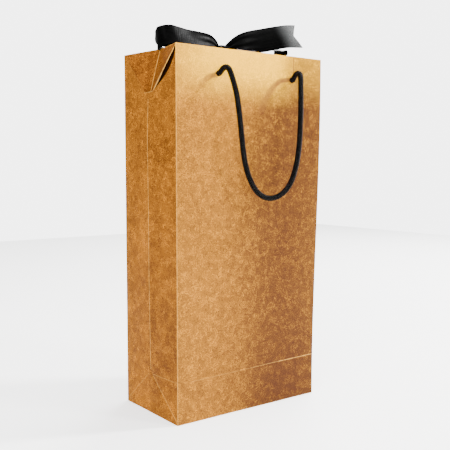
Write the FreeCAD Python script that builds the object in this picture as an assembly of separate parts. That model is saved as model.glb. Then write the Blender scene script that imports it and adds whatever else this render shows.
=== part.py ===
# Wine gift bag: folded paper bag with cord handles, a card base and a ribbon bow.
# Frame: origin at the centre of the base, X along the width, Y through the depth
# (front panel at -Y), Z up. Millimetres.
import FreeCAD, Part
import math
import os

os.makedirs("parts", exist_ok=True)
V = FreeCAD.Vector

# Driving dimensions
width = 180.0
depth = 100.0
height = 370.0
paper = 0.5             # wall of the folded sheet
turn_in = 42.0          # how far the mouth is folded inwards
strip_card = 1.0        # stiffening strip inside each turn-in
strip_margin = 5.0      # strip stops this far from the bag's side edges
tuck_in = 12.0          # how far each gusset is pushed in at the mouth
crease_gap = 0.4        # gap left at a crease that folds
tuck_clearance = 1.5    # the gusset's turn-in stays this far from the tuck's crease
base_card = 1.5
base_card_gap = 0.6     # between the loose base card and each wall
side_flap_reach = 44.0
flap_overlap = 15.0     # how far front and back flaps pass the middle
seam_tab_width = 15.0
cord = 5.0              # handle cord, diameter
hole_play = 0.3         # radial, between cord and hole
hole_drop = 25.0        # below the mouth
hole_spacing = 96.0
hole_offset = 7.0       # the pair of holes stands this far towards +X
cord_knot = 12.0
body_gap = 0.3          # between pieces that move past each other
shoulder_stop = 4.4     # the cord's shoulder ends this far from the loop's hinge
ribbon = 25.0
ribbon_thickness = 0.5
bow_height = 6.5        # the bow knot's centre above the mouth
bow_shift = -2.0
bow_knot_width = 18.0
bow_knot_height = 11.0
bow_knot_round = 0.35   # the knot's edge radius, as a share of its height
leg_rise = 3.0          # a ribbon leg clears the mouth's edge by this
loop_end_half = 5.0     # half the height of a bow loop's round end
loop_start_half = 2.2   # and of its start at the knot
strip_top_gap = 2.0     # the strip starts this far above the turn-in's edge
knot_sink = 0.4         # the cord knot's centre lies this share of its size behind the turn-in
# each bow loop: reach from the knot's middle, the share of it where its arcs are highest and lowest,
# and above the mouth the heights there and of its end
left_loop_shape = (80, 0.6, 26, 15, 8)
right_loop_shape = (88, 0.55, 20, 13.5, 7.5)

# Places worked out from them
half_w = width / 2
half_d = depth / 2
stack = 2 * paper + strip_card
hole_z = height - hole_drop
hole_x = {"left": hole_offset - hole_spacing / 2, "right": hole_offset + hole_spacing / 2}
fold_z = height - turn_in
fold_half = half_d - turn_in
apex_z = height - half_d
hinge_out = cord / 2 + 2 * body_gap
bow_z = height + bow_height
sides = {"left": -1, "right": 1}
faces = {"front": -1, "back": 1}


def save(name, shape):
    shape.exportStep("parts/" + name + ".step")
    print(name, "volume", round(shape.Volume, 1))


def box(x0, x1, y0, y1, z0, z1):
    x0, x1 = sorted((x0, x1))
    y0, y1 = sorted((y0, y1))
    return Part.makeBox(x1 - x0, y1 - y0, z1 - z0, V(x0, y0, z0))


def prism(points, push):
    wire = Part.makePolygon(points + points[:1])
    return Part.Face(wire).extrude(push)


def hole_cutter(side):
    bore = cord / 2 + hole_play
    return Part.makeCylinder(bore, 3 * depth, V(hole_x[side], -1.5 * depth, hole_z), V(0, 1, 0))


def punched(shape):
    for side in sides:
        shape = shape.cut(hole_cutter(side))
    return shape


def panel(sign):
    inner = sign * (half_d - paper)
    return punched(box(-half_w, half_w, sign * half_d, inner, 0, height))


def strip(sign):
    outer = sign * (half_d - paper)
    inner = sign * (half_d - paper - strip_card)
    half = half_w - strip_margin
    return punched(box(-half, half, outer, inner, fold_z + strip_top_gap, height - paper))


def long_turn_in(sign):
    """Front or back turn-in: a leaf behind the strip and the fold over its top."""
    half = half_w - paper
    outer = sign * (half_d - paper)
    leaf_out = sign * (half_d - stack + paper)
    inner = sign * (half_d - stack)
    leaf = box(-half, half, leaf_out, inner, fold_z, height)
    fold = box(-half, half, outer, inner, height - paper, height)
    return punched(leaf.fuse(fold).removeSplitter())


def gusset(sign):
    """Side wall with its folded mouth taken out."""
    wall = box(sign * half_w, sign * (half_w - paper), -half_d + paper, half_d - paper, 0, height)
    x = sign * half_w
    mouth = [
        V(x, -fold_half, fold_z), V(x, fold_half, fold_z),
        V(x, half_d, height), V(x, -half_d, height),
    ]
    return wall.cut(prism(mouth, V(-sign * paper, 0, 0)))


def gusset_turn_in(sign):
    """The two flat corners of the gusset's turn-in, inside the wall."""
    x = sign * (half_w - paper)
    corners = []
    for end in (-1, 1):
        edge = end * (half_d - stack)
        start = V(x, end * (fold_half + tuck_clearance), fold_z)
        top = V(x, edge, height - stack - tuck_clearance)
        corners.append(prism([start, V(x, edge, fold_z), top], V(-sign * paper, 0, 0)))
    return Part.makeCompound(corners)


def tuck_facet(sign, end):
    """Half of the gusset's folded mouth: end +1 is the rear half, -1 the front half."""
    apex = V(sign * half_w, 0, apex_z)
    along_edge = V(0, end, 1).normalize()
    along_crease = V(-sign * tuck_in, 0, half_d).normalize()
    normal = along_edge.cross(along_crease).normalize()
    if normal.x * sign > 0:
        normal = normal * -1
    sine = along_edge.cross(along_crease).Length
    edge_gap = crease_gap / sine
    crease_half = crease_gap / 2 / sine
    reach = half_d - stack - crease_gap
    far = reach / abs(along_edge.y)

    def at(s, t):
        return apex + along_edge * s + along_crease * t

    def crease_at(s, rise):
        return (rise - s * along_edge.z) / along_crease.z

    low = fold_half + crease_gap
    corners = [
        at((low - edge_gap * along_crease.z) / along_edge.z, edge_gap),
        at(far, edge_gap),
        at(far, crease_at(far, half_d)),
        at(crease_half, crease_at(crease_half, half_d)),
        at(crease_half, crease_at(crease_half, low)),
    ]
    return prism(corners, normal * paper * 2)


def side_flap(sign):
    """Inner bottom flap, cut at 45 degrees so that it clears the corners."""
    x0 = sign * (half_w - paper)
    x1 = sign * (half_w - side_flap_reach)
    wide = half_d - paper
    narrow = half_d - side_flap_reach
    z = 2 * paper
    outline = [V(x0, -wide, z), V(x0, wide, z), V(x1, narrow, z), V(x1, -narrow, z)]
    return prism(outline, V(0, 0, paper))


def back_bottom_flap():
    return box(-half_w + paper, half_w - paper, half_d - paper, -flap_overlap, 0, paper)


def front_bottom_flap():
    half = half_w - paper
    low = box(-half, half, -half_d + paper, -flap_overlap, 0, paper)
    step = box(-half, half, -flap_overlap - paper, -flap_overlap, 0, 2 * paper)
    top = box(-half, half, -flap_overlap, flap_overlap, paper, 2 * paper)
    return low.fuse([step, top]).removeSplitter()


def loose_base():
    half_x = half_w - paper - base_card_gap
    half_y = half_d - paper - base_card_gap
    return box(-half_x, half_x, -half_y, half_y, 3 * paper, 3 * paper + base_card)


def seam_tab():
    """Glued overlap inside the back panel, at its left edge."""
    inner = half_d - paper
    top = fold_z - 1
    x = -half_w + paper
    return box(x, x + seam_tab_width, inner, inner - paper, 3 * paper + base_card + 1, top)


def tube_path(points, name):
    """Straight runs joined by tangent arcs as large as the runs allow."""
    edges = []
    radii = []
    start = points[0]
    for i in range(1, len(points) - 1):
        before = points[i - 1] - points[i]
        after = points[i + 1] - points[i]
        turn = math.pi - before.getAngle(after)
        reach = 0.45 * min(before.Length, after.Length)
        radius = reach / math.tan(turn / 2)
        before = before.normalize()
        after = after.normalize()
        bisector = (before + after).normalize()
        tangent_in = points[i] + before * reach
        tangent_out = points[i] + after * reach
        middle = points[i] + bisector * (math.hypot(radius, reach) - radius)
        edges.append(Part.LineSegment(start, tangent_in).toShape())
        edges.append(Part.Arc(tangent_in, middle, tangent_out).toShape())
        radii.append(radius)
        start = tangent_out
    edges.append(Part.LineSegment(start, points[-1]).toShape())
    print(name, "radii", [round(r, 1) for r in radii])
    return Part.Wire(edges)


def cord_tube(points, name, balls=()):
    """Round cord along the path, with a round end at each listed point."""
    path = tube_path(points, name)
    direction = points[1] - points[0]
    ring = Part.Wire(Part.makeCircle(cord / 2, points[0], direction))
    tube = path.makePipeShell([ring], True, False)
    section = math.pi * (cord / 2) ** 2
    ratio = tube.Volume / section / path.Length
    print(name, "length", round(path.Length, 1), "volume ratio", round(ratio, 4))
    for point in balls:
        tube = tube.fuse(Part.makeSphere(cord / 2, point))
    return tube


# The handle's centreline as x, distance out from the panel, height above the holes. A shoulder
# runs from its hinge at the hole to the loop's hinge, where the loop starts and ends.
loop_hinge = (19.2, -1.4)
left_shoulder = [
    (-41, hinge_out, 0), (-41, 7.4, 3.6), (-40.9, 12.6, 5.2), (-40.6, 17, 3.6), (-39.6, *loop_hinge),
]
right_shoulder = [
    (55, hinge_out, 0), (55, 6.8, 5), (54.4, 11.2, 6.4), (53.2, 16.2, 4.7), (51.6, *loop_hinge),
]
loop = [
    (-39.6, *loop_hinge), (-38.2, 20.6, -7.5), (-35.2, 22.6, -20), (-32.8, 23.6, -38), (-30.5, 24, -57),
    (-28, 24, -78), (-22.5, 23, -97), (-12.5, 22, -113.6), (1, 21, -123.2), (18, 21, -123.6),
    (33.4, 22, -113.2),
    (41.6, 23, -95), (45.2, 24, -74), (46.4, 24.5, -52), (47.8, 23.5, -32), (49.2, 22, -18), (50.2, 20.5, -7.5),
    (51.6, *loop_hinge),
]


def placed(route, sign):
    return [V(x, sign * (half_d + out), hole_z + rise) for x, out, rise in route]


def shoulder(route, sign, name):
    points = placed(route, sign)
    tube = cord_tube(points, name, [points[0]])
    return tube.cut(Part.makeSphere(shoulder_stop, points[-1]))


def handle(sign, name):
    points = placed(loop, sign)
    return cord_tube(points, name, [points[0], points[-1]])


def cord_end(side, sign):
    """Cord inside its hole, from the knot to just outside the panel."""
    inner = half_d - stack
    outer = half_d + body_gap
    start = V(hole_x[side], sign * inner, hole_z)
    return Part.makeCylinder(cord / 2, outer - inner, start, V(0, sign, 0))


def end_knot(side, sign):
    """Overhand knot behind the turn-in, flattened where it bears on it."""
    centre = V(hole_x[side], sign * (half_d - stack - cord_knot * knot_sink), hole_z)
    ball = Part.makeSphere(cord_knot / 2, centre)
    room = box(-width, width, -sign * depth, sign * (half_d - stack), 0, 2 * height)
    return ball.common(room)


def ribbon_leg(sign):
    """Ribbon from under the bow down inside the panel, to its glued end."""
    inner = sign * (half_d - stack)
    near = sign * (half_d - stack - ribbon_thickness)
    x0 = bow_shift - ribbon / 2
    knot_y = sign * ribbon / 2
    low = height - turn_in / 2
    rise = height + leg_rise
    meet = bow_z - bow_knot_height / 2 + 1.5 * ribbon_thickness
    path = [
        V(x0, inner, low), V(x0, inner, rise), V(x0, knot_y, meet + ribbon_thickness),
        V(x0, knot_y, meet - ribbon_thickness), V(x0, near, rise - 2 * ribbon_thickness),
        V(x0, near, low),
    ]
    return prism(path, V(ribbon, 0, 0))


def bow_knot():
    x0 = bow_shift - bow_knot_width / 2
    half = ribbon / 2
    low = bow_z - bow_knot_height / 2
    block = box(x0, x0 + bow_knot_width, -half, half, low, low + bow_knot_height)
    long_edges = [e for e in block.Edges if abs(e.tangentAt(e.FirstParameter).y) > 0.99]
    return block.makeFillet(bow_knot_height * bow_knot_round, long_edges)


def bow_loop(sign, shape):
    """Flattened band: an upper and a lower arc from the knot, closed by a round end."""
    reach, top = shape[:2]
    top_z, end_z, low_z = [height + rise for rise in shape[2:]]
    x0 = bow_shift + sign * bow_knot_width / 2
    end = bow_shift + sign * reach
    middle = bow_shift + sign * reach * top
    turn = loop_end_half
    knot_half = loop_start_half
    y = -ribbon / 2
    upper_end = V(end - sign * turn, y, end_z + turn)
    lower_end = V(end - sign * turn, y, end_z - turn)
    start = V(x0, y, bow_z + knot_half)
    finish = V(x0, y, bow_z - knot_half)
    edges = [
        Part.Arc(start, V(middle, y, top_z), upper_end).toShape(),
        Part.Arc(upper_end, V(end, y, end_z), lower_end).toShape(),
        Part.Arc(lower_end, V(middle, y, low_z), finish).toShape(),
        Part.LineSegment(finish, start).toShape(),
    ]
    outer = Part.Wire(edges)
    inner = outer.makeOffset2D(-ribbon_thickness)
    band = Part.Face(outer).extrude(V(0, ribbon, 0))
    room = Part.Face(inner).extrude(V(0, ribbon, 0))
    return band.cut(room)


def bow_tail(outline, y):
    """Flat ribbon end beside the knot, as x from the knot's middle and z from its centre."""
    points = [V(bow_shift + x, y, bow_z + z) for x, z in outline]
    return prism(points, V(0, ribbon_thickness if y > 0 else -ribbon_thickness, 0))


right_tail_outline = [
    (0, -3), (0, 4), (12, 10), (40, 23), (68, 31.5), (96, 36), (94, 24), (106, 13), (82, 8), (40, 4), (12, -2),
]
left_tail_outline = [(0, 4), (0, -3), (-20, -1), (-56, 8), (-54, 13), (-62, 18), (-40, 16), (-18, 11)]

for name, sign in faces.items():
    save(name + "_panel", panel(sign))
    save(name + "_stiffening_strip", strip(sign))
    save(name + "_turn_in", long_turn_in(sign))
    save(name + "_ribbon_leg", ribbon_leg(sign))
    save(name + "_left_shoulder", shoulder(left_shoulder, sign, name + "_left_shoulder"))
    save(name + "_right_shoulder", shoulder(right_shoulder, sign, name + "_right_shoulder"))
    save(name + "_handle", handle(sign, name + "_handle"))
    for side in sides:
        save(name + "_" + side + "_cord_end", cord_end(side, sign))
        save(name + "_" + side + "_knot", end_knot(side, sign))

for name, sign in sides.items():
    save(name + "_gusset", gusset(sign))
    save(name + "_gusset_turn_in", gusset_turn_in(sign))
    save(name + "_bottom_flap", side_flap(sign))
    save(name + "_tuck_front", tuck_facet(sign, -1))
    save(name + "_tuck_rear", tuck_facet(sign, 1))

save("back_bottom_flap", back_bottom_flap())
save("front_bottom_flap", front_bottom_flap())
save("base_card", loose_base())
save("seam_tab", seam_tab())
save("bow_knot", bow_knot())
save("left_bow_loop", bow_loop(-1, left_loop_shape))
save("right_bow_loop", bow_loop(1, right_loop_shape))
save("right_bow_tail", bow_tail(right_tail_outline, -ribbon / 2))
save("left_bow_tail", bow_tail(left_tail_outline, ribbon / 2))
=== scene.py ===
import math

import bmesh
import bpy
import numpy as np
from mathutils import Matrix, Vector


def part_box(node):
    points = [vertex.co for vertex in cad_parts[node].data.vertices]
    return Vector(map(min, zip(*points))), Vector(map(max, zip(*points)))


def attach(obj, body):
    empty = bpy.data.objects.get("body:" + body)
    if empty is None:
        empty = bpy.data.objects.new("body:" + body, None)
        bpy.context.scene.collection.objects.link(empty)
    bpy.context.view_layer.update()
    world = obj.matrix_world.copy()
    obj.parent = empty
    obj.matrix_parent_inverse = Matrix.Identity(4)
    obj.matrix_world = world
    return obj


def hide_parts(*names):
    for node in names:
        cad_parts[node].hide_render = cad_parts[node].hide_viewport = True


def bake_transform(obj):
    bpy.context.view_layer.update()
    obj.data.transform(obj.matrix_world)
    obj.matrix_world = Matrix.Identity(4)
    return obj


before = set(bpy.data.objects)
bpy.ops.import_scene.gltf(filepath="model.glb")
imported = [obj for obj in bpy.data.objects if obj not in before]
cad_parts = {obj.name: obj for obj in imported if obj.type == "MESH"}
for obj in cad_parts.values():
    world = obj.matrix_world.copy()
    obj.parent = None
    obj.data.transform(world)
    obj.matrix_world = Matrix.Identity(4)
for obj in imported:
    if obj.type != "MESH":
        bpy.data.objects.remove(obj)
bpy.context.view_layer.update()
mm = 0.001
print("frame loaded")

# sizes read from the frame
panelLow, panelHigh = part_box("front_panel")
halfWidth = panelHigh.x
halfDepth = -panelLow.y
bagHeight = panelHigh.z
paperThick = (panelHigh.y - panelLow.y)
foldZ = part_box("front_turn_in")[0].z
foldHalf = halfDepth - (bagHeight - foldZ)
stackInner = -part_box("front_turn_in")[1].y
knotLow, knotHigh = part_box("bow_knot")
knotMiddle = (knotLow + knotHigh) / 2
holeLow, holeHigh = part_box("front_left_cord_end")
holeZ = (holeLow.z + holeHigh.z) / 2
cordDia = holeHigh.z - holeLow.z
ribbonWidth = knotHigh.y - knotLow.y


# ---- camera, first of all
cameraSettings = {  # metres, degrees and millimetres
    "eye": (-0.4669, -0.6328, 0.2531),
    "yaw": 36.71,
    "pitch": -4.56,
    "lens": 58.0,
    "sensor": 36.0,
}


def makeCamera(s):
    data = bpy.data.cameras.new("studioCamera")
    data.lens = s["lens"]
    data.sensor_width = s["sensor"]
    cam = bpy.data.objects.new("studioCamera", data)
    bpy.context.scene.collection.objects.link(cam)
    cam.location = s["eye"]
    yaw, pitch = math.radians(s["yaw"]), math.radians(s["pitch"])
    aim = Vector((math.sin(yaw) * math.cos(pitch), math.cos(yaw) * math.cos(pitch), math.sin(pitch)))
    cam.rotation_euler = aim.to_track_quat("-Z", "Y").to_euler()
    bpy.context.scene.camera = cam


makeCamera(cameraSettings)
print("camera set")


def spread(low, high, count):  # evenly, both ends too
    return [low + (high - low) * i / count for i in range(count + 1)]


# ---- node helpers
class Val:  # a number socket that takes + - * and a few more
    def __init__(self, kit, socket):
        self.kit = kit
        self.socket = socket

    def maths(self, operation, *others):
        return self.kit.add("ShaderNodeMath", {"operation": operation}, (self, *others))

    def __add__(self, o):
        return self.maths("ADD", o)

    __radd__ = __add__

    def __sub__(self, o):
        return self.maths("SUBTRACT", o)

    def __rsub__(self, o):
        return self.kit.add("ShaderNodeMath", {"operation": "SUBTRACT"}, (o, self))

    def __mul__(self, o):
        return self.maths("MULTIPLY", o)

    __rmul__ = __mul__

    def size(self):
        return self.maths("ABSOLUTE")

    def sine(self):
        return self.maths("SINE")

    def least(self, o):
        return self.maths("MINIMUM", o)

    def most(self, o):
        return self.maths("MAXIMUM", o)

    def ramp(self, low, high, first=0.0, last=1.0):  # smooth step from low to high
        settings = {"interpolation_type": "SMOOTHSTEP"}
        return self.kit.add("ShaderNodeMapRange", settings, (self, low, high, first, last))


class Kit:  # makes the nodes of one material
    def __init__(self, name):
        self.material = bpy.data.materials.new(name)
        self.material.use_nodes = True
        self.tree = self.material.node_tree
        self.tree.nodes.clear()

    def add(self, kind, settings=None, inputs=(), out=0):
        node = self.tree.nodes.new(kind)
        for key, value in (settings or {}).items():
            setattr(node, key, value)
        pairs = inputs.items() if isinstance(inputs, dict) else enumerate(inputs)
        for key, value in pairs:
            socket = node.inputs[key]
            if isinstance(value, Val):
                self.tree.links.new(value.socket, socket)
            else:
                socket.default_value = value
        return Val(self, node.outputs[out]) if len(node.outputs) else None

    def blend(self, mask, a, b, mode="MIX"):  # colours a to b
        settings = {"data_type": "RGBA", "blend_type": mode}
        return self.add("ShaderNodeMix", settings, {0: mask, 6: a, 7: b}, out=2)

    def noise(self, place, scale, detail=3.0, rough=0.5, distort=0.0):
        values = {"Vector": place, "Scale": scale, "Detail": detail}
        values.update({"Roughness": rough, "Distortion": distort})
        return self.add("ShaderNodeTexNoise", {}, values)

    def parts(self, vector):
        node = self.tree.nodes.new("ShaderNodeSeparateXYZ")
        self.tree.links.new(vector.socket, node.inputs[0])
        return [Val(self, o) for o in node.outputs]

    def objectPlace(self):
        return self.add("ShaderNodeTexCoord", {}, (), out=3)

    def sheetPlace(self):  # the flat, unfolded place on the piece, in metres
        return self.add("ShaderNodeUVMap", {"uv_map": "flat"})

    def bump(self, height, strength, distance):
        return self.add("ShaderNodeBump", {}, {"Strength": strength, "Distance": distance, "Height": height})

    def finish(self, values):
        shader = self.add("ShaderNodeBsdfPrincipled", {}, values)
        self.add("ShaderNodeOutputMaterial", {}, {"Surface": shader})
        return self.material


# ---- paper: printed like mottled leather, with fibre flecks and whitened worn creases; the front also has painted light, a painted sheen and painted shadows
paperSettings = {
    "dark": (0.051, 0.0183, 0.0085, 1.0),
    "light": (0.415, 0.166, 0.0120, 1.0),
    # painted sheen: the light gold of the glossy highlight along the front's mouth
    "paintedSheen": (0.84, 0.42, 0.006, 1.0),
    # painted shadow: the brown that the front's shadow lines are shaded towards
    "paintedShadow": (0.135, 0.052, 0.017, 1.0),
    "crease": (0.62, 0.31, 0.06, 1.0),
    "speck": (0.05, 0.03, 0.015, 1.0),
    "roughness": 0.42,
    "gloss": 0.01,
    # noise: scale per metre, detail, roughness, distortion
    "clouds": (20.0, 3.0, 0.55, 0.2),
    "patches": (85.0, 3.0, 0.55, 0.5),
    "grain": (640.0, 3.0, 0.65),
    "curls": (230.0, 2.0, 0.45, 2.2),
    "strokes": (380.0, 1.0, 0.4, 2.8),
    "where": (120.0, 2.0, 0.5, 0.4),
    "wear": (380.0, 2.0, 0.6),
    "bump": 0.4,
    "relief": 0.25 * mm,
    "plainRelief": 0.2 * mm,
}


def segmentMask(flat, a, b, half):  # 1 on the line from a to b, in flat metres
    x, y, _ = flat
    dx, dy = b[0] - a[0], b[1] - a[1]
    length = math.hypot(dx, dy)
    ux, uy = dx / length, dy / length
    along = (x - a[0]) * ux + (y - a[1]) * uy
    across = ((x - a[0]) * uy - (y - a[1]) * ux).size()
    ends = along.ramp(-half, half) * along.ramp(length - half, length + half, 1.0, 0.0)
    return across.ramp(half * 0.3, half, 1.0, 0.0) * ends


def makePaper(name, tone, creases, tint=None, field=None, dark=(), seed=0.0):
    # tone: how light the print is, 0 dark to 1 light; field: a function that gives it over the piece instead,
    # together with painted light and an optional painted sheen mask
    # creases and dark: lines as (from, to, half width, strength) in flat metres; the creases are whitened
    # wear and the dark lines are painted shadow
    kit = Kit(name)
    s = paperSettings
    place = kit.sheetPlace()
    flat = kit.parts(place)
    shifted = kit.add("ShaderNodeMapping", {}, {"Vector": place, "Location": (seed, seed * 0.7, seed * 0.3)})
    clouds = kit.noise(shifted, *s["clouds"])
    patches = kit.noise(shifted, *s["patches"])
    grain = kit.noise(shifted, *s["grain"])
    # the flecks follow lines where a warped noise crosses its middle
    curls = (kit.noise(shifted, *s["curls"]) - 0.5).size().ramp(0.006, 0.045, 1.0, 0.0)
    strokes = (kit.noise(shifted, *s["strokes"]) - 0.52).size().ramp(0.004, 0.045, 1.0, 0.0)
    where = kit.noise(shifted, *s["where"]).ramp(0.42, 0.60)
    flecks = (curls * 0.75 + strokes * 0.55) * (where * 0.6 + 0.4)
    base, paintedSheen = field(flat, clouds) if field else (tone + (clouds - 0.5) * 0.35, None)
    swing = (clouds - 0.5) * 0.4 + (patches - 0.5) * 0.6 + (grain - 0.5) * 1.2 + flecks * 2.4 - 0.42
    shade = base + swing * (base * 0.9 + 0.14)
    colour = kit.blend(shade.most(0.0).least(1.0), s["dark"], s["light"])
    if tint:
        colour = kit.blend(1.0, colour, tint, "MULTIPLY")
    # painted sheen: the field's highlight mask blends in the light gold
    if paintedSheen is not None:
        colour = kit.blend((paintedSheen * (swing * 0.5 + 1.0)).least(1.0), colour, s["paintedSheen"])
    # painted shadow: the dark lines shade the colour towards a shadow brown; where two lines meet, their
    # strengths add
    shadow = None
    for a, b, half, strength in dark:
        line = segmentMask(flat, a, b, half) * strength
        shadow = line if shadow is None else shadow + line
    if shadow is not None:
        colour = kit.blend(shadow.least(1.0), colour, s["paintedShadow"])
    worn = None
    for a, b, half, strength in creases:
        wear = kit.noise(shifted, *s["wear"]).ramp(0.25, 0.6, 0.25, 1.0)
        line = segmentMask(flat, a, b, half) * wear * strength
        worn = line if worn is None else worn.most(line)
    if worn is not None:
        colour = kit.blend(worn, colour, s["crease"])
    relief = grain * 0.3 + patches * 0.4 + flecks * 0.5
    rough = patches * 0.2 + (s["roughness"] - 0.1)
    values = {"Base Color": colour, "Roughness": rough, "Specular IOR Level": s["gloss"]}
    values["Normal"] = kit.bump(relief, s["bump"], s["relief"])
    return kit.finish(values)


def frontPrintAndLight(flat, clouds):  # the front's tone, partly print and partly painted light: lighter at the left, with a painted sheen at the mouth
    x, z, _ = flat
    wobble = (clouds - 0.5) * 0.04
    shift = (z - 0.22).most(0.0) * 0.14
    # print with painted light: lighter at the left, darker towards the right and the foot, a little lighter
    # near the top
    base = (x + wobble - shift).ramp(-0.058, 0.036, 0.50, 0.115) + x.ramp(0.062, 0.086) * 0.05
    base = base - z.ramp(0.0, 0.10, 0.08, 0.0) + z.ramp(0.27, 0.32) * x.ramp(-0.02, 0.04, 0.12, 0.02)
    side = x.ramp(-0.095, -0.040, 0.40, 0.95) * (x + wobble * 0.3).ramp(0.030, 0.062, 1.0, 0.30)
    # painted sheen: a highlight band along the mouth, strongest in the middle, weaker at the left edge and
    # weakest at the right
    paintedSheen = (z + wobble * 0.35).ramp(0.309, 0.361) * side
    return base, paintedSheen


def gussetPrintAndLight(flat, clouds):  # the gusset's tone: print, with painted light making the rear half a little lighter; the foot is a little lighter too
    y, z, _ = flat
    base = (clouds - 0.5) * 0.3 + y.ramp(-0.006, 0.006, 0.27, 0.35) + z.ramp(0.0, 0.06, 0.06, 0.0)
    return base, None


def makePlain(name, base, light, scale, rough, bump, gloss):  # uncoated paper and board, and the near-black painted-shade paper
    kit = Kit(name)
    place = kit.objectPlace()
    fibres = kit.noise(place, scale, 5.0, 0.65, 0.6)
    specks = kit.noise(place, scale * 6, 2.0, 0.5)
    colour = kit.blend(fibres.ramp(0.35, 0.65), base, light)
    colour = kit.blend(specks.ramp(0.62, 0.75) * 0.35, colour, paperSettings["speck"])
    values = {"Base Color": colour, "Roughness": rough, "Specular IOR Level": gloss}
    values["Normal"] = kit.bump(fibres + specks * 0.4, bump, paperSettings["plainRelief"])
    return kit.finish(values)


# creases: from, to, half width, strength
edgeCreases = [((x, 0.0), (x, bagHeight), 0.0009, 0.36) for x in (-halfWidth, halfWidth)]
edgeCreases += [((-halfWidth, bagHeight), (halfWidth, bagHeight), 0.0008, 0.6)]
frontCreases = edgeCreases + [
    ((-0.075, 0.0415), (0.0, 0.043), 0.0007, 0.14),
    ((0.0, 0.043), (0.040, 0.0439), 0.0007, 0.25),
    ((0.040, 0.0439), (halfWidth, 0.0445), 0.0007, 0.6),
    ((-halfWidth, 0.0), (halfWidth, 0.0), 0.0009, 0.4),
]
gussetCreases = [
    ((0.0004, 0.0455), (0.0, foldZ - 0.007), 0.00055, 0.6),
    ((-foldHalf, foldZ), (foldHalf, foldZ), 0.0006, 0.5),
    ((-0.003, 0.0405), (-halfDepth, 0.002), 0.0008, 0.33),
    ((0.004, 0.041), (halfDepth, 0.002), 0.0008, 0.16),
    ((-halfDepth, 0.0425), (-0.004, 0.0415), 0.0006, 0.2),
    ((-halfDepth, 0.0), (-halfDepth, bagHeight), 0.0007, 0.35),
    ((halfDepth, 0.0), (halfDepth, bagHeight), 0.0007, 0.35),
    ((-halfDepth, 0.0), (halfDepth, 0.0), 0.0008, 0.35),
]
# on a tuck's half the flat place is (distance from the middle crease, height)
tuckTop = ((-0.06, bagHeight), (0.06, bagHeight), 0.0006, 0.6)
tuckRear = [((0.0, foldZ), (0.0, bagHeight), 0.0006, 0.8), tuckTop,
            ((foldHalf, foldZ), (halfDepth, bagHeight), 0.0007, 0.12)]
tuckLoose = [((0.0, foldZ), (0.0, bagHeight), 0.0005, 0.8), tuckTop,
             ((-foldHalf + 0.0004, foldZ), (-halfDepth + 0.0004, bagHeight), 0.0009, 0.7)]

tuckTint = (1.0, 0.82, 0.5, 1.0)
gussetTint = (1.0, 0.87, 0.45, 1.0)
frontPaintedShadows = [  # painted shadows: a thin line of painted shade along the fold near the mouth, and the soft painted shadows that the two cords cast down and to the left of their holes
    ((0.0538, 0.3465), (0.0542, bagHeight), 0.0006, 0.95),
    ((0.0510, 0.3455), (0.0380, 0.3435), 0.0036, 0.85),
    ((0.0380, 0.3435), (0.0308, 0.3390), 0.0040, 0.80),
    ((0.0308, 0.3390), (0.0245, 0.3320), 0.0046, 0.70),
    ((0.0245, 0.3320), (0.0183, 0.3240), 0.0056, 0.55),
    ((0.0183, 0.3240), (0.0120, 0.3080), 0.0070, 0.36),
    ((-0.0420, 0.3440), (-0.0506, 0.3416), 0.0036, 0.75),
    ((-0.0506, 0.3416), (-0.0580, 0.3367), 0.0042, 0.60),
    ((-0.0580, 0.3367), (-0.0630, 0.3290), 0.0052, 0.38),
]
paperFront = makePaper("kraftFront", 0.0, frontCreases, field=frontPrintAndLight, dark=frontPaintedShadows)
paperBack = makePaper("kraftBack", 0.27, edgeCreases, seed=1.7)
paperGusset = makePaper("kraftGusset", 0.0, gussetCreases, gussetTint, gussetPrintAndLight, seed=3.1)
paperTuckRear = makePaper("kraftTuckRear", 0.22, tuckRear, tuckTint, seed=4.4)
paperTuckFront = makePaper("kraftTuckFront", 0.22, tuckLoose, tuckTint, seed=5.2)
plainSettings = {  # base colour, light colour, noise scale, roughness, bump, gloss
    "paperInside": ((0.13, 0.062, 0.022, 1.0), (0.20, 0.10, 0.038, 1.0), 160.0, 0.8, 0.2, 0.12),
    # painted shade: near-black paper for the leaf behind the gusset's slit, standing in for the dark gap
    "paintedShadePaper": ((0.0040, 0.0012, 0.0004, 1.0), (0.0065, 0.0020, 0.0007, 1.0), 160.0, 1.0, 0.2, 0.0),
    "greyboard": ((0.10, 0.088, 0.07, 1.0), (0.15, 0.135, 0.11, 1.0), 220.0, 0.85, 0.35, 0.12),
}
paperInside, paintedShadePaper, greyboard = [makePlain(name, *values) for name, values in plainSettings.items()]


# ---- black cord and ribbon
yarnSettings = {
    "dark": (0.0004, 0.0003, 0.0003, 1.0),
    "light": (0.0012, 0.0010, 0.0009, 1.0),
    # painted glint: the lighter colour on the crowns of the yarns, where a strand lies on top
    "crown": (0.026, 0.023, 0.021, 1.0),
    "fluff": (0.006, 0.005, 0.005, 1.0),
    "gloss": 0.035,
    "bump": 0.4,
    "relief": 0.1 * mm,
}


def makeCordYarn(s):
    kit = Kit("cordYarn")
    place = kit.objectPlace()
    fuzz = kit.noise(place, 2600.0, 3.0, 0.6)
    shade = kit.noise(place, 300.0, 2.0, 0.5)
    colour = kit.blend(shade.ramp(0.3, 0.7), s["dark"], s["light"])
    # painted glint: where a strand lies on top, its colour is made lighter
    crown = kit.add("ShaderNodeAttribute", {"attribute_name": "crown"}, (), out=2)
    colour = kit.blend(crown.ramp(0.80, 1.0), colour, s["crown"])
    colour = kit.blend(fuzz.ramp(0.6, 0.8) * 0.25, colour, s["fluff"])
    values = {"Base Color": colour, "Roughness": fuzz * 0.2 + 0.2, "Specular IOR Level": s["gloss"]}
    values["Normal"] = kit.bump(fuzz, s["bump"], s["relief"])
    return kit.finish(values)


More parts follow.
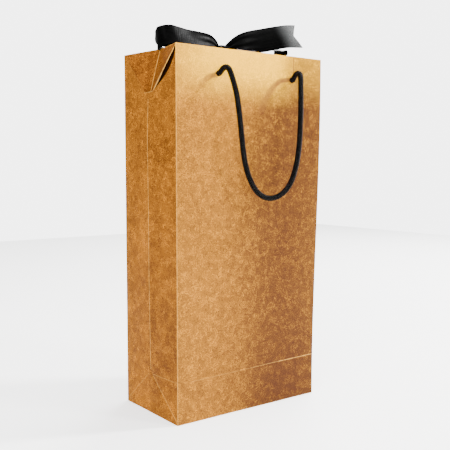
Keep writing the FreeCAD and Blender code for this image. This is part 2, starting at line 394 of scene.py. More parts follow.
satinSettings = {
    "black": (0.0004, 0.0004, 0.0004, 1.0),
    # painted sheen: the lighter streaks along the black satin
    "high": (0.0016, 0.0016, 0.0015, 1.0),
    "sheer": (0.085, 0.088, 0.088, 1.0),
    "threads": 2600.0,  # across the ribbon, radians per metre
    "sheerThreads": 2300.0,
    "sheerFrom": 0.070,
    "sheerTo": 0.103,
    "streaks": (60.0, 900.0, 1.0),
    "gloss": 0.012,
    "bump": 0.3,
    "relief": 0.25 * mm,
}


def makeSatin(name, sheerEnd=False):
    kit = Kit(name)
    s = satinSettings
    place = kit.sheetPlace()  # x along the ribbon, y across it
    along, across, _ = kit.parts(place)
    stretched = kit.add("ShaderNodeMapping", {}, {"Vector": place, "Scale": s["streaks"]})
    streaks = kit.noise(stretched, 1.0, 3.0, 0.6)
    crumple = kit.noise(place, 120.0, 2.0, 0.5, 0.4)
    weft = (along * s["threads"]).sine() * 0.5 + 0.5
    edge = across.size().ramp(ribbonWidth * 0.44, ribbonWidth * 0.475)
    # painted sheen: streaks along the ribbon are coloured lighter
    colour = kit.blend(streaks.ramp(0.35, 0.75), s["black"], s["high"])
    colour = kit.blend(edge * 0.6, colour, s["black"])
    relief = weft * 0.35 + streaks * 0.6 + edge * 0.8 + crumple * 3.0
    values = {"Roughness": streaks * 0.18 + 0.26, "Normal": kit.bump(relief, s["bump"], s["relief"])}
    values["Specular IOR Level"] = s["gloss"]
    if sheerEnd:
        sheer = (along + across * 0.45).ramp(s["sheerFrom"], s["sheerTo"])
        mesh = ((along * s["sheerThreads"]).sine() * (across * s["sheerThreads"]).sine()).size()
        sheer = (sheer * (mesh * 0.35 + 0.75) * (streaks * 0.5 + 0.75)).least(1.0)
        colour = kit.blend(sheer * 0.9, colour, s["sheer"])
        values["Alpha"] = 1.0 - sheer * 0.22
    values["Base Color"] = colour
    return kit.finish(values)


cordYarn = makeCordYarn(yarnSettings)
satin = makeSatin("satin")
print("materials made")


# ---- cords
# places along the cord in mm: x, how far out of the panel, how far above the holes
routeSettings = {
    "turn": (3 * mm, 16 * mm),  # two distances past the shoulders
    "leftShoulder": [(-41, 3.1, 0), (-41, 7.4, 3.6), (-40.9, 12.6, 5.2), (-40.6, 17, 3.6)],
    "rightShoulder": [(53.2, 16.2, 4.7), (54.4, 11.2, 6.4), (55, 6.8, 5), (55, 3.1, 0)],
    "loop": [
        (-39.6, 19.2, -1.4), (-38.2, 20.6, -7.5), (-35.2, 22.6, -20), (-32.8, 23.6, -38), (-30.5, 24, -57),
        (-28, 24, -78), (-22.5, 23, -97), (-12.5, 22, -113.6), (1, 21, -123.2), (18, 21, -123.6),
        (33.4, 22, -113.2), (41.6, 23, -95), (45.2, 24, -74), (46.4, 24.5, -52), (47.8, 23.5, -32),
        (49.2, 22, -18), (50.2, 20.5, -7.5), (51.6, 19.2, -1.4),
    ],
}
braidSettings = {
    "Strands": 8,
    "Sides": 8,
    "Core Sides": 12,
    "Pitch": 8.4 * mm,
    "Middle": 1.90 * mm,
    "Wave": 0.42 * mm,
    "Yarn": 0.74 * mm,
    "Step": 0.35 * mm,
    "Core": 1.6 * mm,
    "Material": cordYarn,
}


def splinePoints(route):  # the route's smooth line, as points
    data = bpy.data.curves.new("route", "CURVE")
    data.dimensions = "3D"
    data.resolution_u = 24
    spline = data.splines.new("NURBS")
    spline.points.add(len(route) - 1)
    for point, place in zip(spline.points, route):
        point.co = (*place, 1.0)
    spline.order_u = 3
    spline.use_endpoint_u = True
    carrier = bpy.data.objects.new("route", data)
    bpy.context.scene.collection.objects.link(carrier)
    bpy.context.view_layer.update()
    line = bpy.data.meshes.new_from_object(carrier.evaluated_get(bpy.context.evaluated_depsgraph_get()))
    points = [v.co.copy() for v in line.vertices]
    bpy.data.objects.remove(carrier)
    return points


def makeBraidTree():
    tree = bpy.data.node_groups.new("braid", "GeometryNodeTree")
    face = tree.interface
    face.new_socket("Line", in_out="INPUT", socket_type="NodeSocketGeometry")
    for label in ("Strands", "Sides", "Core Sides"):
        face.new_socket(label, in_out="INPUT", socket_type="NodeSocketInt")
    for label in ("Pitch", "Middle", "Wave", "Yarn", "Step", "Core"):
        face.new_socket(label, in_out="INPUT", socket_type="NodeSocketFloat")
    face.new_socket("Material", in_out="INPUT", socket_type="NodeSocketMaterial")
    face.new_socket("Cord", in_out="OUTPUT", socket_type="NodeSocketGeometry")
    nodes, links = tree.nodes, tree.links
    given = nodes.new("NodeGroupInput").outputs

    def add(kind, settings=None, inputs=None):
        node = nodes.new(kind)
        for key, value in (settings or {}).items():
            setattr(node, key, value)
        for key, value in (inputs or {}).items():
            if isinstance(value, bpy.types.NodeSocket):
                links.new(value, node.inputs[key])
            else:
                node.inputs[key].default_value = value
        return node.outputs

    def maths(operation, *values):
        return add("ShaderNodeMath", {"operation": operation}, dict(enumerate(values)))[0]

    def vectors(operation, *values, **named):
        return add("ShaderNodeVectorMath", {"operation": operation}, {**dict(enumerate(values)), **named})[0]

    curve = add("GeometryNodeMeshToCurve", {}, {"Mesh": given["Line"]})["Curve"]
    spacing = {"Curve": curve, "Length": given["Step"]}
    fine = add("GeometryNodeResampleCurve", {"mode": "LENGTH"}, spacing)["Curve"]
    repeat = {"Geometry": fine, "Amount": given["Strands"]}
    copies = add("GeometryNodeDuplicateElements", {"domain": "SPLINE"}, repeat)
    travel = add("GeometryNodeSplineParameter")["Length"]
    index = copies["Duplicate Index"]
    way = maths("SUBTRACT", 1.0, maths("MULTIPLY", maths("MODULO", index, 2.0), 2.0))
    turn = maths("DIVIDE", maths("MULTIPLY", travel, 2 * math.pi), given["Pitch"])
    pair = maths("FLOOR", maths("DIVIDE", index, 2.0))
    start = maths("DIVIDE", maths("MULTIPLY", pair, 4 * math.pi), given["Strands"])
    angle = maths("ADD", maths("MULTIPLY", turn, way), start)
    # over and under: the two ways round take turns to lie on top
    weave = maths("COSINE", maths("MULTIPLY", turn, maths("DIVIDE", given["Strands"], 2.0)))
    over = maths("MULTIPLY", weave, way)
    radius = maths("ADD", given["Middle"], maths("MULTIPLY", over, given["Wave"]))
    normal = add("GeometryNodeInputNormal")["Normal"]
    tangent = add("GeometryNodeInputTangent")["Tangent"]
    side = vectors("CROSS_PRODUCT", tangent, normal)
    reach = [maths("MULTIPLY", radius, maths(part, angle)) for part in ("COSINE", "SINE")]
    offset = vectors("ADD", vectors("SCALE", normal, Scale=reach[0]), vectors("SCALE", side, Scale=reach[1]))
    moved = add("GeometryNodeSetPosition", {}, {"Geometry": copies["Geometry"], "Offset": offset})[0]
    # crown marks where a strand lies on top; the cord's material paints a glint there
    mark = {"Geometry": moved, "Name": "crown", "Value": maths("MULTIPLY_ADD", over, 0.5, 0.5)}
    marked = add("GeometryNodeStoreNamedAttribute", {}, mark)[0]

    def tube(line, sides, radius):
        ring = add("GeometryNodeCurvePrimitiveCircle", {}, {"Resolution": sides, "Radius": radius})[0]
        sweep = {"Curve": line, "Profile Curve": ring, "Fill Caps": True}
        return add("GeometryNodeCurveToMesh", {}, sweep)[0]

    strands = tube(marked, given["Sides"], given["Yarn"])
    core = tube(fine, given["Core Sides"], given["Core"])
    joined = add("GeometryNodeJoinGeometry")
    links.new(strands, nodes[-1].inputs[0])
    links.new(core, nodes[-1].inputs[0])
    real = add("GeometryNodeRealizeInstances", {}, {"Geometry": joined[0]})[0]
    done = add("GeometryNodeSetMaterial", {}, {"Geometry": real, "Material": given["Material"]})[0]
    end = nodes.new("NodeGroupOutput")
    links.new(done, end.inputs["Cord"])
    return tree


braidTree = makeBraidTree()


def braidedCord(name, points):
    data = bpy.data.meshes.new(name)
    data.from_pydata([tuple(p) for p in points], [(i, i + 1) for i in range(len(points) - 1)], [])
    carrier = bpy.data.objects.new(name, data)
    bpy.context.scene.collection.objects.link(carrier)
    modifier = carrier.modifiers.new("braid", "NODES")
    modifier.node_group = braidTree
    for item in braidTree.interface.items_tree:
        if item.in_out == "INPUT" and item.name in braidSettings:
            modifier[item.identifier] = braidSettings[item.name]
    bpy.context.view_layer.update()
    made = bpy.data.meshes.new_from_object(carrier.evaluated_get(bpy.context.evaluated_depsgraph_get()))
    carrier.modifiers.clear()
    carrier.data = made
    made.name = name
    made.polygons.foreach_set("use_smooth", [True] * len(made.polygons))
    return carrier


def makeHandle(face, sign):
    s = routeSettings
    route = [Vector((x * mm, sign * (halfDepth + out * mm), holeZ + rise * mm))
             for x, out, rise in s["leftShoulder"] + s["loop"] + s["rightShoulder"]]
    points = splinePoints(route)
    cordPiece = braidedCord(face + "HandleCord", points)
    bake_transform(cordPiece)
    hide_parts(face + "_handle", face + "_left_shoulder", face + "_right_shoulder")
    for side, x in (("left", route[0].x), ("right", route[-1].x)):
        makeCordEnd(face, side, sign, x)
        makeKnot(face, side, sign, x)


endSettings = {"inside": 2 * mm, "outside": 3.4 * mm}
knotSettings = {"scale": 1.12 * mm, "depth": 1.2, "parts": 60, "turn": 0.96, "start": 0.15}


def makeCordEnd(face, side, sign, x):  # from the knot, through the hole, to where the cord turns
    s = endSettings
    inner = Vector((x, sign * (stackInner - s["inside"]), holeZ))
    outer = Vector((x, sign * (halfDepth + s["outside"]), holeZ))
    piece = braidedCord(face + side.capitalize() + "CordEnd", [inner, outer])
    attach(piece, "bag")
    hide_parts(face + "_" + side + "_cord_end")


def makeKnot(face, side, sign, x):  # overhand knot, pulled up against the turned-in mouth
    s = knotSettings
    low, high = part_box(face + "_" + side + "_knot")
    middle = (low + high) / 2
    points = []
    for i in range(s["parts"] + 1):
        t = 2 * math.pi * (i / s["parts"]) * s["turn"] + s["start"]
        across = math.sin(t) + 2 * math.sin(2 * t)
        up = math.cos(t) - 2 * math.cos(2 * t)
        deep = -math.sin(3 * t)
        points.append(middle + Vector((across * s["scale"], deep * s["scale"] * s["depth"], up * s["scale"])))
    piece = braidedCord(face + side.capitalize() + "Knot", points)
    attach(piece, "bag")
    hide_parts(face + "_" + side + "_knot")


makeHandle("front", -1)
makeHandle("back", 1)
print("cords made")


# ---- folded paper
shapeSettings = {
    "flare": 9.0 * mm,
    "flareFrom": 0.02,
    "flareTo": 0.34,
    "belly": 1.6 * mm,
    "gussetBelly": 2.6 * mm,
    "dent": 0.5 * mm,
    "creaseZ": 0.0435,
    "creaseHalf": 1.6 * mm,
    "veeTop": 0.043,
    "veeHalf": 2.0 * mm,
    "corner": 0.8 * mm,
    "ripple": 0.25 * mm,
    "smoothUnder": 25,
}
punchSettings = {"slack": 0.25 * mm, "depth": 12 * mm, "sides": 32}


def smooth(t):
    t = min(max(t, 0.0), 1.0)
    return t * t * (3 - 2 * t)


def flare(x, z):  # the bag opens towards +X at its mouth
    s = shapeSettings
    rise = smooth((z - s["flareFrom"]) / (s["flareTo"] - s["flareFrom"]))
    return s["flare"] * rise * max(0.0, x / halfWidth) ** 1.5


def ripple(u, v, seed):  # very slight unevenness of folded paper
    a = math.sin(u * 37.0 + seed) * math.sin(v * 23.0 + seed * 2.1)
    b = math.sin(u * 71.0 + v * 40.0 + seed * 3.7)
    return shapeSettings["ripple"] * (a + 0.5 * b)


def sheetMesh(name, patches, material):
    # each patch is a grid of (place, flat place) in metres; shared edges are welded
    bm = bmesh.new()
    layer = bm.loops.layers.uv.new("flat")
    for rows in patches:
        grid = [[bm.verts.new(place) for place, _ in row] for row in rows]
        for i in range(len(rows) - 1):
            for j in range(len(rows[i]) - 1):
                corners = [(i, j), (i, j + 1), (i + 1, j + 1), (i + 1, j)]
                ring = []
                for a, b in corners:
                    vert = grid[a][b]
                    if all((vert.co - other.co).length > 1e-7 for other, _ in ring):
                        ring.append((vert, rows[a][b][1]))
                if len(ring) < 3:
                    continue
                made = bm.faces.new([v for v, _ in ring])
                for loop, (_, flat) in zip(made.loops, ring):
                    loop[layer].uv = flat
    bmesh.ops.remove_doubles(bm, verts=bm.verts, dist=1e-6)
    bmesh.ops.recalc_face_normals(bm, faces=bm.faces)
    data = bpy.data.meshes.new(name)
    bm.to_mesh(data)
    bm.free()
    piece = bpy.data.objects.new(name, data)
    bpy.context.scene.collection.objects.link(piece)
    data.materials.append(material)
    return piece


def applyModifiers(piece):
    bpy.context.view_layer.update()
    made = bpy.data.meshes.new_from_object(piece.evaluated_get(bpy.context.evaluated_depsgraph_get()))
    piece.modifiers.clear()
    piece.data = made


def thicken(piece, thickness, outward, creaseAngle):  # outward: which way the outer face looks
    data = piece.data
    total = Vector((0, 0, 0))
    for polygon in data.polygons:
        total += polygon.normal * polygon.area
    if total.dot(Vector(outward)) < 0:
        data.flip_normals()
    modifier = piece.modifiers.new("wall", "SOLIDIFY")
    modifier.thickness = thickness
    modifier.offset = -1.0
    modifier.use_even_offset = True
    applyModifiers(piece)
    smoothByAngle(piece, creaseAngle)


def smoothByAngle(piece, creaseAngle):
    bm = bmesh.new()
    bm.from_mesh(piece.data)
    limit = math.radians(creaseAngle)
    for face in bm.faces:
        face.smooth = True
    for edge in bm.edges:
        edge.smooth = len(edge.link_faces) == 2 and edge.calc_face_angle(0.0) < limit
    bm.to_mesh(piece.data)
    bm.free()


def punch(piece, holes):  # round holes for the cords
    s = punchSettings
    cutters = []
    for centre, radius in holes:
        bm = bmesh.new()
        size = {"radius1": radius, "radius2": radius, "depth": s["depth"], "segments": s["sides"]}
        bmesh.ops.create_cone(bm, cap_ends=True, **size)
        for vert in bm.verts:
            vert.co = centre + Vector((vert.co.x, vert.co.z, vert.co.y))
        bmesh.ops.recalc_face_normals(bm, faces=bm.faces)
        data = bpy.data.meshes.new("punch")
        bm.to_mesh(data)
        bm.free()
        cutter = bpy.data.objects.new("punch", data)
        bpy.context.scene.collection.objects.link(cutter)
        cutters.append(cutter)
        modifier = piece.modifiers.new("punch", "BOOLEAN")
        modifier.operation = "DIFFERENCE"
        modifier.solver = "EXACT"
        modifier.object = cutter
    applyModifiers(piece)
    for cutter in cutters:
        bpy.data.objects.remove(cutter)


def holePlaces(sign):
    places = []
    radius = cordDia / 2 + punchSettings["slack"]
    for side in ("left", "right"):
        low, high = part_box("front_" + side + "_cord_end")
        places.append((Vector(((low.x + high.x) / 2, sign * halfDepth, holeZ)), radius))
    return places


def panelPlace(x, z, sign):  # a point of the front or back panel's outer face
    s = shapeSettings
    sideFade = 1 - (abs(x) / halfWidth) ** 4
    topFade = smooth((bagHeight + 0.02 - z) / 0.12)
    belly = s["belly"] * sideFade * smooth(z / 0.12) * topFade
    belly += ripple(x, z, 1.0 + sign) * sideFade
    belly -= s["dent"] * math.exp(-((z - s["creaseZ"]) / s["creaseHalf"]) ** 2) * sideFade
    corner = s["corner"]
    past = max(0.0, abs(x) - (halfWidth - corner))
    back = corner - math.sqrt(max(0.0, corner * corner - past * past))
    return Vector((x + flare(x, z), sign * (halfDepth + belly - back), z))


def makePanel(face, sign, material):
    corner = shapeSettings["corner"]
    # rows and columns lie closer where the sheet bends: at its corners and at the crease above the foot
    xs = [-halfWidth + corner * (1 - math.cos(a)) for a in spread(0, math.pi / 2, 4)]
    xs += spread(-halfWidth + corner, halfWidth - corner, 60)[1:-1]
    xs += [halfWidth - corner * (1 - math.cos(a)) for a in spread(math.pi / 2, 0, 4)]
    zs = spread(0.0, 0.038, 8) + spread(0.038, 0.049, 14)[1:] + spread(0.049, bagHeight, 90)[1:]
    grid = [[(panelPlace(x, z, sign), (x, z)) for x in xs] for z in zs]
    piece = sheetMesh(face + "Panel", [grid], material)
    thicken(piece, paperThick, (0, sign, 0), shapeSettings["smoothUnder"])
    punch(piece, holePlaces(sign))
    smoothByAngle(piece, shapeSettings["smoothUnder"])
    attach(piece, "bag")
    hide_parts(face + "_panel")


def gussetPlace(y, z, sign):
    s = shapeSettings
    edgeX = halfWidth + flare(halfWidth * max(sign, 0), z)
    across = 1 - abs(y) / (halfDepth - s["corner"])
    low = smooth(z / 0.1) * smooth((foldZ + 0.03 - z) / 0.09)
    rise = 0.25 + 0.75 * smooth((z - 0.05) / 0.25)
    belly = s["gussetBelly"] * max(0.0, across) ** 0.9 * rise * low
    belly += ripple(y * 1.7, z, 5.0 + sign) * (1 - min(1.0, (abs(y) / halfDepth)) ** 4)
    vee = s["veeTop"] * (1 - abs(y) / halfDepth)
    belly -= s["dent"] * 1.2 * math.exp(-((z - vee) / s["veeHalf"]) ** 2) * max(0.0, across)
    return Vector((sign * (edgeX + belly * 0.9), y, z))


tuckSettings = {
    "foot": 2.0 * mm,
    "middle": 6.88 * mm,
    "mouth": 13.8 * mm,
    "slit": 10.2 * mm,
    "curl": -0.5 * mm,
    "lift": 1.6 * mm,
    "fromPanel": 0.9 * mm,
    "under": 0.25 * mm,
    "sway": -1.2 * mm,
    "thick": 1.4,  # of the paper's thickness
    "smoothUnder": 40,
}


def mouthCrease(end, z):  # how far from the middle the gusset is cut, at height z
    r = min(1.0, max(0.0, (z - foldZ) / (bagHeight - foldZ)))
    slit = tuckSettings["slit"] * math.sin(math.pi * r) ** 0.9 if end < 0 else 0.0
    return foldHalf + (z - foldZ) + slit


def makeGusset(side, sign):
    edge = halfDepth - shapeSettings["corner"]
    outer = 22
    middle = 6
    ys = spread(-edge, -foldHalf, outer) + spread(-foldHalf, foldHalf, middle)[1:]
    ys += spread(foldHalf, edge, outer)[1:]
    zs = spread(0.0, 0.05, 25) + spread(0.05, foldZ, 70)[1:]
    patches = [[[(gussetPlace(y, z, sign), (y, z)) for y in ys] for z in zs]]
    for end in (-1, 1):
        rows = []
        for z in spread(foldZ, bagHeight, 34):
            creaseY = mouthCrease(end, z)
            reach = max(0.0, edge - creaseY)
            row = [min(creaseY, edge) + reach * t for t in spread(0, 1, outer)]
            rows.append([(gussetPlace(end * y, z, sign), (end * y, z)) for y in row])
        patches.append(rows)
    piece = sheetMesh(side + "Gusset", patches, paperGusset)
    thicken(piece, paperThick, (sign, 0, 0), shapeSettings["smoothUnder"])
    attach(piece, "bag")
    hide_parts(side + "_gusset")


def tuckPlace(sign, end, t, r):
    # t: 0 at the middle crease, 1 at the outer crease; r: 0 low, 1 at the mouth
    s = tuckSettings
    z = foldZ + (bagHeight - foldZ) * r
    outerY = min(foldHalf + (z - foldZ), halfDepth - s["fromPanel"])
    # how far in the middle crease lies, through its depth at the foot, halfway up and at the mouth
    inward = s["foot"] * (1 - r) * (1 - 2 * r) + 4 * s["middle"] * r * (1 - r)
    inward += s["mouth"] * r * (2 * r - 1)
    bow = math.sin(math.pi * r)
    deep = inward * (1 - t) + s["curl"] * math.sin(math.pi * t) * (0.2 + 0.8 * r) * end
    deep += s["under"] * (1 if end > 0 else 1 - 3 * bow * t * t)
    middleY = s["sway"] * bow * (1 - t)
    edgeX = halfWidth + flare(halfWidth * max(sign, 0), z)
    belly = gussetPlace(end * outerY, z, sign).x * sign - edgeX
    lift = s["lift"] * r * r * (1 - t)
    place = Vector((sign * (edgeX + belly * t - deep), end * outerY * t + middleY, z + lift))
    return place, (end * outerY * t, z)


def makeTucks(side, sign):
    for half, end, material in (("rear", 1, paperTuckRear), ("front", -1, paperTuckFront)):
        grid = [[tuckPlace(sign, end, t, r) for t in spread(0, 1, 28)] for r in spread(0, 1, 34)]
        piece = sheetMesh(side + "Tuck" + half.capitalize(), [grid], material)
        thicken(piece, paperThick * tuckSettings["thick"], (sign, 0, 0), tuckSettings["smoothUnder"])
        body = side + "_tuck_" + half
        if half == "rear":  # stays joined to the gusset along its crease
            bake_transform(piece)
        else:
            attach(piece, body)
        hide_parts(body)


turnInSettings = {"thin": 0.8, "wave": 0.3 * mm, "smoothUnder": 35}


def makeTurnIn(face, sign):  # folds over the mouth and hangs inside the panel
    s = turnInSettings
    lift = paperThick * 0.5
    outer = halfDepth - 0.1 * mm
    xs = spread(-halfWidth + 1.2 * mm, halfWidth - 1.2 * mm, 60)
    profile = [(outer - paperThick, bagHeight - 1.5 * mm), (outer - paperThick, bagHeight - 0.3 * mm),
               (outer - 0.9 * mm, bagHeight + lift * 0.2), (stackInner + 0.4 * mm, bagHeight + lift * 0.2),
               (stackInner, bagHeight - 0.6 * mm)]
    profile += [(stackInner, z) for z in spread(bagHeight - 3 * mm, foldZ, 16)]
    grid = []
    for y, z in profile:
        row = []
        for x in xs:
            shape = panelPlace(x, min(z, bagHeight), sign)
            bulge = abs(shape.y) - halfDepth
            wave = s["wave"] * math.sin(x * 55) * smooth((bagHeight - z) / (bagHeight - foldZ))
            row.append((Vector((shape.x, sign * (y + bulge - abs(wave)), z)), (x, 2 * bagHeight - z)))
        grid.append(row)
    piece = sheetMesh(face + "TurnIn", [grid], paperInside)
    thicken(piece, paperThick * s["thin"], (0, -sign, 0), s["smoothUnder"])
    punch(piece, holePlaces(sign))
    smoothByAngle(piece, s["smoothUnder"])
    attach(piece, "bag")
    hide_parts(face + "_turn_in")


leafSettings = {
    "inset": 1.6 * mm,
    "reach": 2.5 * mm,
    "swing": 3.2 * mm,
    "swingOver": 0.04,
    "behind": 1.25,  # of the paper's thickness
    "thin": 0.6,
}


def makeGussetTurnIn(side, sign):  # corners of the turned-in mouth; the front one hangs away from the wall; both are near-black, painted shade for the dark gap seen through the slit
    s = leafSettings
    patches = []
    last = stackInner - 0.2 * mm
    for end in (-1, 1):
        rows = []
        for z in spread(foldZ + 0.5 * mm, bagHeight - (1.0 if end < 0 else 3.6) * mm, 26):
            nominal = foldHalf + (z - foldZ)
            creaseY = nominal - s["reach"] if end < 0 else nominal + s["inset"]
            reach = max(0.0, last - creaseY)
            places = []
            for y in [min(creaseY, last) + reach * t for t in spread(0, 1, 12)]:
                place = gussetPlace(end * y, z, sign)
                away = (last - y) / s["swingOver"] * s["swing"] if end < 0 else 0.0
                place.x -= sign * (paperThick * s["behind"] + away)
                places.append((place, (end * y, z)))
            rows.append(places)
        patches.append(rows)
    piece = sheetMesh(side + "GussetTurnIn", patches, paintedShadePaper)
    thicken(piece, paperThick * s["thin"], (-sign, 0, 0), shapeSettings["smoothUnder"])
    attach(piece, "bag")
    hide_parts(side + "_gusset_turn_in")


makePanel("front", -1, paperFront)
makePanel("back", 1, paperBack)
for sideName, sideSign in (("left", -1), ("right", 1)):
    makeGusset(sideName, sideSign)
    makeTucks(sideName, sideSign)
    makeGussetTurnIn(sideName, sideSign)
for faceName, faceSign in (("front", -1), ("back", 1)):
    makeTurnIn(faceName, faceSign)
print("paper made")

# CAD nodes that keep their shape
plainNodes = {name + "_bottom_flap": paperInside for name in ("front", "back", "left", "right")}
plainNodes["seam_tab"] = paperInside
for nodeName in ("front_stiffening_strip", "back_stiffening_strip", "base_card"):
    plainNodes[nodeName] = greyboard
for nodeName, plain in plainNodes.items():
    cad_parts[nodeName].data.materials.clear()
    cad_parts[nodeName].data.materials.append(plain)


# ---- ribbon
ribbonSettings = {
    "thick": 0.35 * mm,
    "across": 16,
    "step": 0.9 * mm,
    "crown": 0.6 * mm,
    "cutRows": 14,
    "smoothUnder": 50,
}


def throughPoints(keys, count):  # smooth values through the keys, one row of numbers each
    keys = np.array(keys, float)
    out = []
    for i in range(count + 1):
        t = i / count * (len(keys) - 1)
        k = min(int(t), len(keys) - 2)
        f = t - k
        p0, p1, p2, p3 = keys[max(k - 1, 0)], keys[k], keys[k + 1], keys[min(k + 2, len(keys) - 1)]
        a = 2 * p1 + (p2 - p0) * f + (2 * p0 - 5 * p1 + 4 * p2 - p3) * f * f
        out.append(0.5 * (a + (3 * p1 - p0 - 3 * p2 + p3) * f ** 3))
    return out


def ribbonStrip(name, keys, material, length, pleat, tip=None):
    # length: about how long it is, only for the count of rows; tip: how its end is cut
    s = ribbonSettings
    count = max(24, int(length / s["step"]))
    rows = throughPoints(keys, count)
    centres = [Vector((bowX + r[0], bowY + r[1], bagHeight / mm + r[2])) * mm for r in rows]
    travelled = [0.0]
    for a, b in zip(centres, centres[1:]):
        travelled.append(travelled[-1] + (b - a).length)
    grid = []
    for i, r in enumerate(rows):
        across = Vector(r[3:6]).normalized()
        forward = (centres[min(i + 1, count)] - centres[max(i - 1, 0)]).normalized()
        across = (across - forward * across.dot(forward)).normalized()
        normal = forward.cross(across)
        half = ribbonWidth / 2 * r[6]
        line = []
        for v in spread(-1, 1, s["across"]):
            fold = pleat(travelled[i], travelled[-1], v)
            crown = s["crown"] * (1 - v * v) * (1 if r[6] > 0.9 else r[6])
            place = centres[i] + across * half * v + normal * (fold + crown)
            if tip:
                cut = float(np.interp(v, [t[0] for t in tip], [t[1] for t in tip])) * mm
                place += forward * cut * smooth((i - count + s["cutRows"]) / s["cutRows"])
            line.append((place, (travelled[i], v * ribbonWidth / 2)))
        grid.append(line)
    piece = sheetMesh(name, [grid], material)
    modifier = piece.modifiers.new("wall", "SOLIDIFY")
    modifier.thickness = s["thick"]
    modifier.offset = 0.0
    applyModifiers(piece)
    smoothByAngle(piece, s["smoothUnder"])
    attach(piece, "bag")
    return piece, travelled[-1]


def gathered(depth, reach, ends, shift=0.13):  # folds run out of the knot at these ends and fade
    def shape(at, total, v):
        near = max(math.exp(-(at if end == "start" else total - at) / reach) for end in ends)
        return depth * near * math.sin(3 * math.pi * (v + shift))

    return shape


bowX, bowY = knotMiddle.x / mm, knotMiddle.y / mm
# each key: x from the knot's middle, y, height above the mouth, the across direction, the width's share
leftLoopKeys = [
    (-4, -4, 6.5, 0, 0.45, 0.9, 0.40), (-9, -6.5, 9.2, 0.1, 0.35, 0.95, 0.60),
    (-18, -9, 11.4, 0.1, 0.3, 0.95, 0.80),
    (-30, -10.5, 11.6, 0.02, 0.35, 0.94, 0.92), (-44, -11, 12.6, 0, 0.45, 0.89, 0.96),
    (-57, -11, 14.8, 0, 0.45, 0.89, 0.90), (-66, -10, 15.9, 0, 0.4, 0.92, 0.86),
    (-73.5, -6.5, 14.8, 0.1, 0.25, 0.95, 0.85), (-76.8, -0.5, 12.4, 0.1, 0, 0.99, 0.90),
    (-75.4, 5.5, 9.8, 0.05, 0.35, 0.93, 0.88), (-68, 9, 5.0, 0, 0.85, 0.5, 0.92),
    (-52, 9, 3.2, 0, 0.98, 0.1, 1.0),
    (-32, 7, 3.4, 0, 0.97, 0.15, 0.95), (-18, 5, 4.4, 0, 0.85, 0.4, 0.75), (-6, 3, 5.4, 0, 0.7, 0.6, 0.42),
]
rightLoopKeys = [
    (5, 2, 8.0, 0, 0.9, 0.3, 0.42), (18, 4, 12.6, 0, 0.93, 0.3, 0.85), (40, 3, 15.0, 0, 0.93, 0.36, 1.0),
    (62, 2, 15.4, 0, 0.95, 0.30, 1.0), (78, 0.5, 15.6, 0, 0.96, 0.28, 1.0),
    (83.6, 0.2, 14.6, 0, 0.96, 0.26, 1.0),
    (85, 0, 12.0, 0, 0.98, 0.20, 1.0), (83.4, 0, 9.4, 0, 0.99, 0.12, 1.0), (77, 0, 8.2, 0, 1, 0.10, 1.0),
    (60, 1, 7.4, 0, 1, 0.08, 1.0), (38, 2, 7.0, 0, 1, 0.1, 1.0),
    (18, 2, 6.4, 0, 0.95, 0.2, 0.85), (5, 1, 5.6, 0, 0.9, 0.3, 0.42),
]
rightTailKeys = [
    (2, -7, 6.4, 0.05, 0.4, 0.9, 0.40), (9, -11, 10.4, -0.12, 0.28, 0.95, 0.58),
    (17, -13, 13.4, -0.18, 0.2, 0.96, 0.80),
    (29, -14, 16.6, -0.22, 0.12, 0.97, 0.95), (48, -14, 20.6, -0.22, 0.06, 0.97, 1.0),
    (67, -14.2, 25.2, -0.22, 0.05, 0.97, 1.0), (83, -14.6, 28.4, -0.2, 0.05, 0.97, 1.0),
    (95, -15, 29.6, -0.16, 0.05, 0.98, 1.0),
]
leftTailKeys = [
    (-2, 8, 6.4, -0.1, -0.3, 0.93, 0.4), (-16, 12, 9.5, 0, -0.3, 0.95, 0.55),
    (-34, 13, 12.4, 0.05, -0.3, 0.95, 0.7),
    (-50, 13, 15.0, 0.15, -0.3, 0.94, 0.78), (-60, 12, 16.6, 0.3, -0.3, 0.9, 0.8),
]
swallowtail = [(-1.0, 9.0), (-0.5, 3.4), (0.05, -3.6), (0.5, -2.2), (1.0, 0.0)]  # across, and the cut in mm


def makeBow():
    pleats = gathered(1.3 * mm, 11 * mm, ("start", "end"))
    oneEnd = gathered(1.4 * mm, 16 * mm, ("start",))
    sheer = makeSatin("satinSheerEnd", sheerEnd=True)
    strips = [
        ("leftBowLoop", "left_bow_loop", leftLoopKeys, satin, 0.17, pleats, None),
        ("rightBowLoop", "right_bow_loop", rightLoopKeys, satin, 0.19, pleats, None),
        ("rightBowTail", "right_bow_tail", rightTailKeys, sheer, 0.1, oneEnd, swallowtail),
        ("leftBowTail", "left_bow_tail", leftTailKeys, satin, 0.07, oneEnd, swallowtail),
    ]
    for name, node, keys, material, length, pleat, tip in strips:
        piece, run = ribbonStrip(name, keys, material, length, pleat, tip)
        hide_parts(node)


bandSettings = {"length": 0.05, "thick": 0.6 * mm, "along": 24, "around": 64, "fold": 0.055}


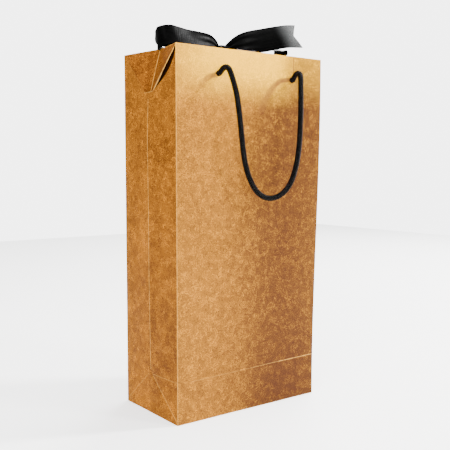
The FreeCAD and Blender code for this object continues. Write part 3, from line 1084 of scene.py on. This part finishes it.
def makeBowKnot():  # a band wrapped round the crossing, pinched in folds
    s = bandSettings
    halfX = (knotHigh.x - knotLow.x) / 2
    halfY = ribbonWidth / 2 * 0.96
    halfZ = (knotHigh.z - knotLow.z) / 2
    grid = []
    for u in spread(-1, 1, s["along"]):
        row = []
        pinch = 0.80 + 0.20 * (1 - u * u) ** 0.5
        for a in spread(0, 2 * math.pi, s["around"]):
            c, sn = math.cos(a), math.sin(a)
            fold = 1 + s["fold"] * math.sin(5 * math.pi * u + 1.2 * sn) * (1 - 0.3 * abs(u))
            y = halfY * pinch * fold * math.copysign(abs(c) ** 0.75, c)
            z = halfZ * pinch * fold * math.copysign(abs(sn) ** 0.8, sn)
            x = halfX * u * (1 - 0.12 * abs(sn))
            row.append((knotMiddle + Vector((x, y, z)), (a * 0.01, u * ribbonWidth / 2)))
        grid.append(row)
    piece = sheetMesh("bowKnot", [grid], satin)
    thicken(piece, s["thick"], (0, 0, 0), ribbonSettings["smoothUnder"])
    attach(piece, "bag")
    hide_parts("bow_knot")


def makeRibbonLegs():  # from inside each panel, over the mouth, to the knot
    pleats = gathered(1.2 * mm, 12 * mm, ("end",), 0.1)
    for face, sign in (("front", -1), ("back", 1)):
        inner = stackInner / mm - 0.5
        keys = [
            (0, sign * inner, -20, 1, 0, 0, 1.0), (0, sign * inner, -8, 1, 0, 0, 1.0),
            (0, sign * (inner - 0.6), 0.5, 1, 0, 0, 1.0), (0, sign * (inner - 8), 2.6, 1, 0, 0, 0.96),
            (0, sign * 26, 2.6, 1, 0, 0, 0.85), (0, sign * 14, 2.8, 1, 0, 0, 0.62),
            (0, sign * 8, 4.2, 1, 0, 0, 0.5),
        ]
        leg, run = ribbonStrip(face + "RibbonLeg", keys, satin, 0.07, pleats)
        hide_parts(face + "_ribbon_leg")


makeRibbonLegs()
makeBow()
makeBowKnot()
print("ribbon made")


# ---- studio
studioSettings = {
    "floor": 1.8,  # half its width, metres
    "floorColour": (0.93, 0.93, 0.92, 1.0),
    "floorSpeck": (0.8, 0.8, 0.8, 1.0),
    "floorRoughness": 0.7,
    "glow": 1.3,
    "glowColour": (1.0, 1.0, 1.0, 1.0),
    "world": 0.68,
    "backdrop": 5.0,
    "lamps": {  # place, size, watts
        "key": ((0.8, -1.5, 1.35), 0.35, 26.0),
        "rake": ((1.3, -0.6, 1.6), 0.25, 80.0),
        "soft": ((-1.35, -1.1, 0.85), 1.5, 66.0),
        "top": ((-0.1, -0.3, 2.2), 1.6, 44.0),
        "back": ((1.5, 1.1, 1.9), 1.2, 80.0),
        "right": ((1.9, 0.2, 1.0), 1.0, 40.0),
    },
}


def makeStudio(s):
    kit = Kit("floorPaint")
    speck = kit.noise(kit.objectPlace(), 9.0, 2.0, 0.5)
    colour = kit.blend(speck * 0.04, s["floorColour"], s["floorSpeck"])
    glow = {"Emission Color": s["glowColour"], "Emission Strength": s["glow"]}
    kit.finish({"Base Color": colour, "Roughness": s["floorRoughness"], **glow})
    half = s["floor"]
    corners = [(-half, -half, 0), (half, -half, 0), (half, half, 0), (-half, half, 0)]
    data = bpy.data.meshes.new("floor")
    data.from_pydata(corners, [], [(0, 1, 2, 3)])
    floor = bpy.data.objects.new("floor", data)
    bpy.context.scene.collection.objects.link(floor)
    data.materials.append(kit.material)
    world = bpy.data.worlds.new("studio")
    world.use_nodes = True
    nodes, links = world.node_tree.nodes, world.node_tree.links
    nodes["Background"].inputs[0].default_value = s["glowColour"]
    sight = nodes.new("ShaderNodeLightPath")
    strength = nodes.new("ShaderNodeMapRange")
    strength.inputs["To Min"].default_value = s["world"]
    strength.inputs["To Max"].default_value = s["backdrop"]
    links.new(sight.outputs["Is Camera Ray"], strength.inputs["Value"])
    links.new(strength.outputs[0], nodes["Background"].inputs["Strength"])
    bpy.context.scene.world = world
    aim = Vector((0, 0, bagHeight * 0.5))
    for name, (at, size, watts) in s["lamps"].items():
        light = bpy.data.lights.new(name, "AREA")
        light.shape = "DISK"
        light.size = size
        light.energy = watts
        lamp = bpy.data.objects.new(name, light)
        bpy.context.scene.collection.objects.link(lamp)
        lamp.location = at
        lamp.rotation_euler = (aim - lamp.location).to_track_quat("-Z", "Y").to_euler()


makeStudio(studioSettings)
print("studio made")
